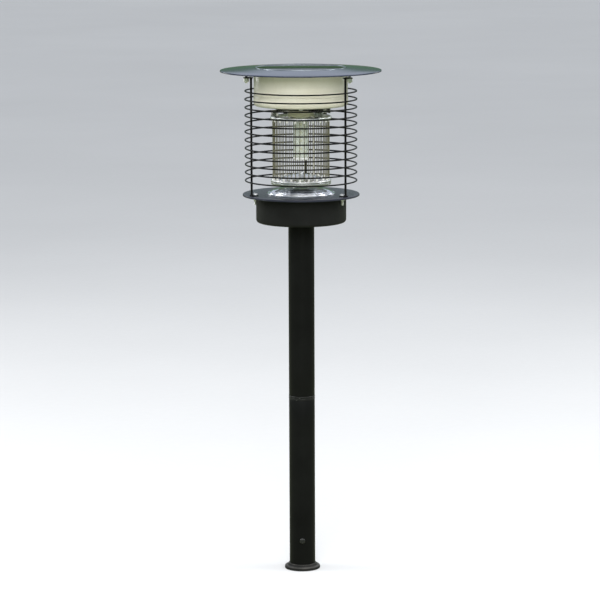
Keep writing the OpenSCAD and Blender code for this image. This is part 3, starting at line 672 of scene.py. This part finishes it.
def build_cage():
    rods = Shape()
    top = CAP_Z - 4.8
    for k in range(3):
        turn = ROD_TURN + 120 * k
        z0, z1 = FLANGE_TOP, top
        rods.lathe(rounded([
            (0, z0 + 0.1), (ROD_R + 1.3, z0 + 1.5, 0.1), (ROD_R + 0.25, z0 + 2.1, 0.4),
            (ROD_R, z0 + 4.2, 0.6), (ROD_R, z1 - 4.2, 0.6), (ROD_R + 0.25, z1 - 2.1, 0.4),
            (ROD_R + 1.3, z1 - 1.5, 0.1), (0, z1 - 0.1)], closed=False), 24, False, at(turn, ROD_CIRCLE))
        tab(rods, FLANGE_TOP, ROD_CIRCLE - BOLT_CIRCLE, at(turn, BOLT_CIRCLE))
        tab(rods, top - TAB, ROD_CIRCLE - STUD_CIRCLE, at(turn, STUD_CIRCLE))
    piece("cage_rod_set", rods, cage_paint, "head", ["cage_rods"])

    rings = Shape()
    for i in range(RINGS):
        level = FIRST_RING + RING_PITCH * i
        phase, lean = random.uniform(0, TAU), random.uniform(0, TAU)
        size = random.uniform(0.10, 0.22)

        def drop(a):
            return size * math.sin(a + lean) + 0.06 * math.sin(3 * a + phase)

        def wander(a):
            near = min(abs((math.degrees(a) - ROD_TURN - 120 * k + 180) % 360 - 180) for k in range(3))
            return -0.14 * (1 + math.sin(2 * a + phase)) * min(1, near / 18)

        profile = []
        for r, z in circle(RING_CIRCLE, level, RING_WIRE, 12):
            profile.append((lambda a, r=r: r + wander(a), lambda a, z=z: z + drop(a)))
        rings.lathe(profile, 144)
        for k in range(3):
            turn = ROD_TURN + 120 * k
            z = level + drop(math.radians(turn))
            for side in (-1, 1):
                blob = rounded([
                    (0, -0.9), (0.85, -0.6, 0.5), (0.85, 0.6, 0.5), (0, 0.9)], closed=False, steps=2)
                rings.lathe(blob, 10, False, at(turn, RING_CIRCLE - RING_WIRE + 0.05, z + 0.75 * side)
                            @ Matrix.Diagonal((1.5, 0.75, 0.7, 1)))
        seam = RING_WELD_TURN + 2.5 * random.uniform(-1, 1)
        weld = rounded([(0, -1.1), (1.28, -0.55, 0.5), (1.28, 0.55, 0.5), (0, 1.1)], closed=False, steps=3)
        spot = at(seam, RING_CIRCLE + wander(math.radians(seam)), level + drop(math.radians(seam)))
        rings.lathe(weld, 14, False, spot @ Matrix.Rotation(math.radians(90), 4, "Y"))
    piece("cage_ring_set", rings, cage_paint, "head", ["cage_rings"])

    studs, nuts, seat = Shape(), Shape(), top - TAB
    for k in range(3):
        place = at(ROD_TURN + 120 * k, STUD_CIRCLE)
        thread(studs, 2.0, STUD_LOW, STUD_HIGH, place)
        hex_nut(nuts, seat - NUT_H, seat, place)
        washer = rounded([(2.2, seat - 0.25), (4.4, seat - 0.25, 0.15), (4.4, seat), (2.2, seat)])
        nuts.lathe(washer, 32, True, place)
    piece("cap_stud_set", studs, fixing_steel, "head", ["cap_studs"])
    piece("cap_nut_set", nuts, fixing_steel, "head", ["cap_nuts"])


# ---- electrode grid and reflector

def build_reflector():
    top, band, steps = FLANGE_TOP, 17, 9

    def dome(r, h, groove, pillow):
        points = []
        for k in range(4):
            for j in range(steps + (k < 3)):
                t = 5 + band * k + ((band - 1) * j / (steps - 1) if j < steps else band - 0.5)
                lift = pillow * math.sin(math.pi * j / (steps - 1)) if j < steps else -groove
                points.append((r * math.cos(math.radians(t)), top + h * math.sin(math.radians(t)) + lift))
        return points

    outer, inner = dome(47.4, 10.1, 0.55, 0.28), dome(46.2, 8.9, 0.5, 0.0)
    rim = rounded([(DISH_R, top), (DISH_R, top + 1.1, 0.3), (48.9, top + 1.65, 0.4), (48.2, top + 1.1, 0.3),
                   (47.8, top + 0.7, 0.2), (47.3, top + 0.9)], closed=False)
    s = Shape().lathe(rim + outer + [(6, outer[-1][1]), (6, inner[-1][1])] + inner[::-1] + [(46.0, top)],
                      192)
    piece("dish_body", s, dish_chrome, "head", ["dish"], crease=50)

    s = Shape()
    z = DISH_Z
    s.lathe(rounded([
        (0, 570.6), (12, 570.6, 0.4), (12, z, 0.6), (43.5, z, 0.5), (43.5, z + 3.45, 0.5),
        (38.3, z + 3.5, 0.8), (36, z + 5.4, 1.4), (30, z + 8.8, 3), (22, z + 11.6, 3.5), (12, z + 13.6, 3),
        (5, z + 14.6, 1.5), (2.2, z + 15.2, 0.5), (3, z + 16.4, 0.5), (3, z + 17.2, 0.5),
        (1.8, z + 18.1, 0.6), (0, z + 18.4)], closed=False, steps=5), 128, False)
    piece("cone_body", s, cone_chrome, "head", ["reflector_cone"], crease=50)


def grid_ring(low, height, out, inner=38.6):
    s = Shape().lathe(rounded([
        (inner, low, 0.7), (out, low, 1.9), (out, low + height, 2.3), (inner, low + height, 0.7)], steps=8),
        160)
    return s


def build_grid():
    low = grid_ring(LOW_RING_Z, 3.8, 44.0)
    low.block((5, 3.8, 1.0), at(LEAD_TURN, LEAD_CIRCLE + 0.8, GRID_LOW - 0.5), 0.2)
    high = grid_ring(GRID_HIGH, 4.6, 44.6)
    step = 360 / WIRES
    beads = Shape()
    grids = (("low", step * 3 / 8, GRID_LOW, GRID_HIGH - BEAD, low, GRID_LOW),
             ("high", step * 7 / 8, GRID_LOW + BEAD, GRID_HIGH, high, GRID_HIGH))
    for name, phase, foot, head, ring, ring_z in grids:
        wires = Shape()
        for k in range(WIRES):
            turn = phase + k * step
            sway = [random.uniform(-0.16, 0.16) for _ in range(4)]
            rows = 11
            path = []
            for i in range(rows):
                t = i / (rows - 1)
                bend = math.sin(math.pi * t)
                path.append((sway[0] * bend + sway[1] * math.sin(2 * math.pi * t),
                             sway[2] * bend + sway[3] * math.sin(2 * math.pi * t), foot + (head - foot) * t))
            wires.sweep(path, WIRE_R, 8, at(turn, WIRE_CIRCLE), dome=False)
            weld = rounded([
                (0, -0.1), (1.25, 0, 0.3), (0.95, 0.5, 0.4), (0.6, 1.0, 0.3), (0, 1.05)], closed=False,
                steps=2)
            flip = Matrix.Identity(4) if name == "low" else Matrix.Diagonal((1, 1, -1, 1))
            ring.lathe(weld, 12, False, at(turn, WIRE_CIRCLE, ring_z) @ flip)
            end = GRID_HIGH - BEAD if name == "low" else GRID_LOW
            beads.lathe(rounded([
                (0, 0), (1.35, 0, 0.3), (1.5, 0.7, 0.3), (1.5, 2.5, 0.3), (1.35, BEAD, 0.3), (0, BEAD)],
                closed=False, steps=2), 14, False, at(turn, WIRE_CIRCLE, end))
        piece(f"grid_wires_{name}", wires, grid_wire_steel, "head",
              ["lower_grid_wires" if name == "low" else "upper_grid_wires"])
    piece("grid_ring_low", low, grid_ring_steel, "head", ["lower_grid_ring"])
    piece("grid_ring_high", high, grid_ring_steel, "head", ["upper_grid_ring"])
    piece("grid_bead_set", beads, insulator_white, "head", ["grid_beads"])

    posts, collars, brackets, screws = Shape(), Shape(), Shape(), Shape()
    for k in range(4):
        turn = POST_TURN + 90 * k
        place, pitch = at(turn, POST_CIRCLE, GRID_TOP), POST_H / 3
        profile = [(0, 0)]
        for i in range(3):
            for r, f, cut in ((2.6, 0.02, 0.25), (2.6, 0.60, 0.45), (1.9, 0.70, 0.25), (1.9, 0.94, 0.25)):
                profile.append((r, pitch * (i + f), cut))
        profile[-1] = (1.9, POST_H, 0.1)
        posts.lathe(rounded(profile + [(0, POST_H)], closed=False, steps=3), 32, False, place)
        for z0, z1, r in ((0, 1.5, 2.95), (7.2, POST_H, 2.8)):
            collars.lathe(rounded([
                (1.6, z0, 0.1), (r + 0.25, z0, 0.3), (r, (z0 + z1) / 2, 0.3), (r + 0.1, z1, 0.4),
                (1.6, z1, 0.1)]), 32, True, place)
        bent_strip(brackets, [(30.0, MOUNT_Z - 1.2), (30.0, MOUNT_Z), (47.4, MOUNT_Z, 1.6),
                              (47.4, GRID_TOP + 1.5), (46.2, GRID_TOP + 1.5), (46.2, MOUNT_Z - 1.2, 0.6)],
                   13.0, at(turn, 0))
        flip = at(turn, BRACKET_SCREW_CIRCLE, MOUNT_Z - 1.2) @ Matrix.Rotation(math.pi, 4, "X")
        pan_head(screws, 2.6, 1.6, flip, turn=0.5 + k)
        thread(screws, 1.4, COVER_Z - 0.3, MOUNT_Z - 1.3, at(turn, BRACKET_SCREW_CIRCLE), pitch=0.6,
               depth=0.2)
    piece("insulator_post_set", posts, insulator_ceramic, "head", ["insulator_posts"])
    piece("post_collars", collars, collar_dark, "head", ())
    piece("post_bracket_set", brackets, bracket_steel, "head", ["post_brackets"])
    piece("bracket_screw_set", screws, fixing_steel, "head", ["bracket_screws"])

    mount = Shape().lathe(rounded([
        (HUB_R, MOUNT_Z, 0.3), (20, MOUNT_Z), (39, MOUNT_Z, 1.8), (39, COVER_Z, 0.4), (HUB_R, COVER_Z, 0.3)],
        steps=6), 128)
    piece("grid_mount_body", mount, mount_black, "head", ["grid_mount"])

    lead = Shape()
    path = [(0, 0, GRID_LOW + 0.5 + (COVER_Z - GRID_LOW - 0.8) * k / 14) for k in range(15)]
    path = [(0.5 * math.sin(p[2] / 17), 0.25 * math.sin(p[2] / 11 + 1), p[2]) for p in path]
    lead.sweep(path, LEAD_R, 12, at(LEAD_TURN, LEAD_CIRCLE))
    piece("feed_lead", lead, lead_cream, "head", ["hv_lead"])


# ---- lamp

def build_lamp():
    s = Shape()
    low, top, wall = LAMP_LOW + 4, HOLDER_SEAT, 1.2
    profile = [(LAMP_R - wall, low), (LAMP_R, low)] + [(LAMP_R, low + (top - low) * k / 8) for k in range(1,
                                                                                                          9)]
    profile += [(LAMP_R - wall, low + (top - low) * k / 8) for k in range(8, 0, -1)]
    s.lathe(profile, 96)
    piece("lamp_tube_glass", s, lamp_glass, "head", ["lamp_tube"])

    s = Shape()
    z = LAMP_LOW
    s.lathe(rounded([
        (0, z + 0.3), (3, z + 0.3, 0.3), (3.6, z, 0.2), (8.6, z, 0.5), (LAMP_R - 0.6, z + 0.5, 0.6),
        (LAMP_R, z + 1.6, 0.5), (LAMP_R, z + 3.1, 0.2), (LAMP_R - 0.25, z + 3.3, 0.1),
        (LAMP_R - 0.25, z + 3.6, 0.1), (LAMP_R, z + 4, 0.1), (0, z + 4)], closed=False), 96, False)
    piece("lamp_cap_body", s, lamp_white, "head", ["lamp_end_cap"])

    s = Shape()
    low, out, neck, bore = MOUNT_Z - 11, 19.4, HUB_R - 0.1, LAMP_R + 0.05
    s.lathe(rounded([(bore, low, 0.3), (out, low, 1.4), (out, low + 3.6, 0.2), (19.05, low + 3.9, 0.15),
                     (19.05, low + 4.5, 0.15), (out, low + 4.8, 0.2), (out, MOUNT_Z, 0.2), (neck, MOUNT_Z),
                     (neck, HOLDER_TOP, 0.6), (0, HOLDER_TOP), (0, HOLDER_SEAT), (bore, HOLDER_SEAT)]), 96)
    piece("lamp_holder_body", s, holder_ivory_painted_shade, "head", ["lamp_holder"])

    s = Shape()
    hex_nut(s, COVER_Z + 2.2, COVER_Z + 7.2, Matrix.Identity(4), corner=19.0, bore=HUB_R - 0.05)
    piece("holder_nut_body", s, lamp_white, "head", ["holder_nut"])

    s = Shape().block((15, 1.6, 78), Matrix.Translation((0, 0, 653.2)), 0.25)
    piece("led_board_body", s, led_board_white, "head", ["led_board"])
    s = Shape()
    for i in range(5):
        for side in (0, 180):
            place = Matrix.Rotation(math.radians(side), 4, "Z") @ Matrix.Translation((0, -1.4,
                                                                                      625.95 + 12 * i))
            s.block((3.5, 1.2, 3.5), place, 0.2)
    piece("led_chip_set", s, led_yellow, "head", ["led_chips"])


# ---- housing

def seamed(radius, depth=0.30, width=0.35):
    """A radius with two moulding seams, on opposite sides."""
    def at_angle(a):
        off = abs((math.degrees(a) - SEAM_TURN + 90) % 180 - 90)
        return radius - depth * max(0.0, 1 - off / width)
    return at_angle


def seam_turns():
    """Angles for the lathe, closer together at the seams."""
    angles = {round(360 * k / 192, 4) for k in range(192)}
    for seam in (SEAM_TURN, SEAM_TURN + 180):
        angles |= {round((seam + d) % 360, 4) for d in (-0.5, -0.35, -0.2, 0, 0.2, 0.35, 0.5)}
    return [math.radians(a) for a in sorted(angles)]


def build_housing():
    turns = seam_turns()
    s = Shape()
    profile = rounded([
        (HOUSING_IN, SHELL_Z, 0.2), (HOUSING_R, SHELL_Z, 0.3), (HOUSING_R, 714), (HOUSING_R, 726),
        (HOUSING_R, SHELL_TOP, 0.6), (HOUSING_IN, SHELL_TOP, 0.2)])
    s.lathe([(seamed(r) if r > HOUSING_IN + 1.2 else r, z) for r, z in profile], turns)
    piece("housing_shell_body", s, housing_ivory, "head", ["housing_shell"])

    s = Shape()
    profile = rounded([
        (HUB_R, COVER_Z, 0.5), (30, COVER_Z), (52, COVER_Z), (COVER_R, COVER_Z, 6.2),
        (COVER_R, SHELL_Z - 3, 0.5), (COVER_R, SHELL_Z, 0.7), (COVER_R - 2.7, SHELL_Z, 0.2),
        (COVER_R - 2.7, COVER_Z + 2.2, 4.5), (HUB_R, COVER_Z + 2.2, 0.5)], steps=8)
    s.lathe(profile, 192)
    for k in range(4):
        ring = rounded([
            (3.3, COVER_Z - 0.05), (3.5, COVER_Z - 0.5, 0.2), (4.6, COVER_Z - 0.5, 0.3),
            (4.9, COVER_Z + 0.05)])
        s.lathe(ring, 40, True, at(90 * k, BOSS_CIRCLE))
    s.lathe(rounded([
        (16, COVER_Z + 0.05), (16.2, COVER_Z - 0.6, 0.2), (18.2, COVER_Z - 0.6, 0.3),
        (18.6, COVER_Z + 0.05)]), 96)
    piece("housing_cover_body", s, housing_ivory, "head", ["housing_cover"])

    s = Shape()
    for k in range(4):
        flip = at(90 * k, BOSS_CIRCLE, COVER_Z) @ Matrix.Rotation(math.pi, 4, "X")
        pan_head(s, 3.2, 2.0, flip, turn=0.3 + k)
        s.lathe([(0, COVER_Z - 0.3), (1.6, COVER_Z - 0.3), (1.6, COVER_Z + 29.7), (0, COVER_Z + 29.7)], 20,
                False, at(90 * k, BOSS_CIRCLE))
    piece("housing_screw_set", s, fixing_steel, "head", ["housing_screws"])

    s = Shape().lathe(rounded([
        (HOUSING_IN, SHELL_TOP, 0.2), (68.0, SHELL_TOP, 0.3), (68.0, CAP_Z, 0.3), (HOUSING_IN, CAP_Z, 0.2)]),
        128)
    piece("gasket_ring", s, gasket_rubber, "head", ["housing_gasket"])

    place = outward(SWITCH_TURN, 0, SWITCH_Z)
    s = Shape().lathe(rounded([
        (5.35, 58, 0.2), (6.8, 58, 0.3), (6.8, 68.4), (8.4, 68.4, 0.3), (8.4, 69.8, 0.7), (7.2, 70.8, 0.5),
        (5.8, 70.8, 0.4), (5.35, 70.2, 0.3)]), 64, True, place)
    piece("switch_body", s, switch_black, "head", ["power_switch"])
    s = Shape().lathe(rounded([
        (0, 60), (5, 60, 0.3), (5, 73.2, 1.1), (3.6, 73.2, 0.5), (2.8, 72.8, 0.6), (0, 72.6)], closed=False),
        64, False, place)
    piece("button_body", s, button_red, "button", ["power_button"])


# ---- cap and panel

def build_cap():
    s = Shape()
    low, wall, lip, sheet = RIM_Z - 2, CAP_WALL_R, CAP_LIP_R, CAP_SHEET

    def brim(r):
        return BRIM_Z - (BRIM_Z - RIM_Z) * (r - wall) / (lip - wall)

    s.lathe(rounded([
        (4, CAP_Z), (40, CAP_Z), (wall, CAP_Z, 0.8), (wall, BRIM_Z - sheet, 0.8), (90, brim(90) - sheet),
        (lip, RIM_Z - sheet, 0.4), (lip + 0.8, low, 0.4), (CAP_R, low, 0.7), (CAP_R, RIM_Z, 1.0),
        (95, brim(95)), (wall, BRIM_Z, 1.2), (RECESS_R, BRIM_Z, 0.5), (RECESS_R, PANEL_FLOOR, 0.3),
        (40, PANEL_FLOOR), (4, PANEL_FLOOR)], steps=6), 224)
    for k in range(3):
        under = brim(STUD_CIRCLE) - sheet
        boss = rounded([
            (1.9, under, 0.1), (3.4, under, 0.3), (2.5, under - 0.6, 0.3), (2.0, under - 1.2, 0.1),
            (1.9, under - 1.2)])
        s.lathe(boss, 28, True, at(ROD_TURN + 120 * k, STUD_CIRCLE))
    piece("cap_body", s, cap_paint, "head", ["cap"])

    low = PANEL_FLOOR + 1.6
    ribbons = Shape()
    for i in range(6):
        y = (i - 2.5) * 20.6
        far = abs(y) + 9.5
        half = math.sqrt(max(1, 62.5 ** 2 - far ** 2))
        for across in (-4.5, 4.5):
            ribbons.block((2 * half - 2, 1.3, 0.12), Matrix.Translation((0, y + across, low + 0.33)), 0.04)
    piece("cell_ribbons", ribbons, grid_ring_steel, "head", ())

    s = Shape()
    z0, z1 = low + 0.4, PANEL_TOP
    s.lathe(rounded([
        (0, z0), (PANEL_R, z0, 0.2), (PANEL_R, z1, 0.3), (0, z1)], closed=False, steps=3), 160, False)
    piece("panel_cover_glass", s, panel_glass, "head", ["panel_cover"])

    s = Shape()
    top = PANEL_TOP + 0.4
    s.lathe(rounded([(64.1, PANEL_FLOOR), (BEZEL_R, PANEL_FLOOR), (BEZEL_R, top, 0.7), (63.9, top, 0.3),
                     (63.4, PANEL_TOP + 0.05), (63.4, PANEL_TOP), (64.1, PANEL_TOP)], steps=6), 192)
    piece("bezel_ring", s, bezel_metal, "head", ["panel_bezel"])


# ---- pieces shown as the CAD has them

for build in (build_stake, build_stake_screw, build_poles, build_base, build_cage, build_reflector,
              build_grid, build_lamp, build_housing, build_cap):
    build()

AS_CAD = {"board_standoffs": standoff_brass, "control_board": board_green, "board_screws": fixing_steel,
          "hv_transformer": coil_yellow, "hv_capacitors": capacitor_blue, "battery_cells": cell_blue,
          "battery_trays": tray_black, "panel_leads": lead_red, "cap_screws": fixing_steel,
          "panel_board": panel_back, "solar_cells": solar_blue,}
for node_name, material in AS_CAD.items():
    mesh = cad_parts[node_name].data
    mesh.materials.clear()
    mesh.materials.append(material)


# ---- studio

def shade_reflections(material, colour):
    """The stage looks pale, and stands for the darker lawn in what the object mirrors and receives."""
    tree = material.node_tree
    shader = [n for n in tree.nodes if n.type == "BSDF_PRINCIPLED"][0]
    source = shader.inputs["Base Color"].links[0].from_socket
    seen, mix = tree.nodes.new("ShaderNodeLightPath"), tree.nodes.new("ShaderNodeMix")
    mix.data_type = "RGBA"
    mirrored, shown = rgba(mix.inputs)
    mirrored.default_value = (*colour, 1)
    tree.links.new(seen.outputs["Is Camera Ray"], mix.inputs["Factor"])
    tree.links.new(source, shown)
    tree.links.new(rgba(mix.outputs)[0], shader.inputs["Base Color"])


def floor():
    mesh = bpy.data.meshes.new("studio_floor")
    reach = 60
    mesh.from_pydata([(-reach, -reach, 0), (reach, -reach, 0), (reach, reach, 0), (-reach, reach, 0)], [],
                     [(0, 1, 2, 3)])
    obj = add_object("studio_floor", mesh)
    paper = surface(
        "studio_floor", [(0.64, 0.64, 0.635), (0.68, 0.68, 0.675)], (0.6, 0.75), blotch=0.6, grain=60,
        bump=0.02)
    shade_reflections(paper, (0.17, 0.195, 0.10))
    mesh.materials.append(paper)


def softbox(name, place, target, size, power, mirrored=True):
    """An area light that the camera never sees. The object mirrors it unless mirrored is False."""
    data = bpy.data.lights.new(name, "AREA")
    data.shape, data.size, data.size_y = "RECTANGLE", size[0], size[1]
    data.energy = power
    obj = add_object(name, data)
    obj.location = place
    obj.rotation_euler = (Vector(target) - Vector(place)).to_track_quat("-Z", "Y").to_euler()
    obj.visible_camera = False
    obj.visible_glossy = mirrored


def studio():
    floor()
    softbox("key_top", (0.3, -0.5, 2.9), (0, 0, 0.6), (2.4, 2.4), 40)
    softbox("left_box", (-2.2, 0.2, 1.9), (0, 0, 0.6), (1.0, 1.0), 24)
    softbox("right_box", (2.2, 0.0, 1.9), (0, 0, 0.6), (1.0, 1.0), 20)
    softbox("front_fill", (-0.3, -3.2, 1.75), (0, 0, 0.65), (1.3, 1.0), 56, mirrored=False)
    softbox("low_fill", (0.4, -2.6, 0.3), (0, 0, 0.7), (1.0, 0.5), 14, mirrored=False)
    softbox("front_card", (0.0, -2.6, 2.2), (0, 0, 0.6), (2.6, 0.9), 22)
    softbox("left_rim", (-2.0, 1.9, 0.95), (0, 0, 0.6), (0.9, 0.9), 6)
    softbox("right_rim", (2.0, 1.8, 0.95), (0, 0, 0.6), (0.9, 0.9), 4)

    # To the camera the world is an even grey, and to all else a sky over a dark green horizon.
    world = bpy.data.worlds.new("studio_world")
    world.use_nodes = True
    tree = world.node_tree
    tree.nodes.clear()
    new = tree.nodes.new
    out, light = new("ShaderNodeOutputWorld"), new("ShaderNodeBackground")
    backdrop, where = new("ShaderNodeBackground"), new("ShaderNodeTexCoord")
    split, ramp = new("ShaderNodeSeparateXYZ"), new("ShaderNodeValToRGB")
    seen, mix = new("ShaderNodeLightPath"), new("ShaderNodeMixShader")
    elements = ramp.color_ramp.elements
    elements[0].position, elements[0].color = 0.03, (0.11, 0.22, 0.11, 1)
    elements[1].position, elements[1].color = 0.9, (0.97, 0.98, 1.0, 1)
    for position, colour in ((0.13, (0.13, 0.21, 0.14, 1)), (0.20, (0.68, 0.76, 0.90, 1))):
        element = elements.new(position)
        element.color = colour
    light.inputs["Strength"].default_value = 0.85
    backdrop.inputs["Color"].default_value = (0.62, 0.63, 0.64, 1)
    backdrop.inputs["Strength"].default_value = 0.8
    for a, b in ((where.outputs["Generated"], split.inputs[0]), (split.outputs["Z"], ramp.inputs[0]),
                 (ramp.outputs[0], light.inputs[0]), (seen.outputs["Is Camera Ray"], mix.inputs[0]),
                 (light.outputs[0], mix.inputs[1]), (backdrop.outputs[0], mix.inputs[2]),
                 (mix.outputs[0], out.inputs[0])):
        tree.links.new(a, b)
    bpy.context.scene.world = world
    bpy.context.scene.view_settings.view_transform = "Standard"


def camera():
    """The photograph's angle: a long lens, looking down 9.2 degrees."""
    pitch, roll, distance = math.radians(9.2), math.radians(0.22), 4.110
    target = Vector((-0.00226, 0, 0.4033))
    look = Vector((0, math.cos(pitch), -math.sin(pitch)))
    up, right = Vector((0, math.sin(pitch), math.cos(pitch))), Vector((1, 0, 0))
    x = right * math.cos(roll) - up * math.sin(roll)
    y = right * math.sin(roll) + up * math.cos(roll)
    data = bpy.data.cameras.new("camera")
    data.lens, data.sensor_width = 168, 36
    data.clip_start, data.clip_end = 0.05, 200
    obj = add_object("camera", data)
    turn = Matrix((x, y, -look)).transposed().to_4x4()
    obj.matrix_world = Matrix.Translation(target - look * distance) @ turn
    bpy.context.scene.camera = obj


studio()
camera()
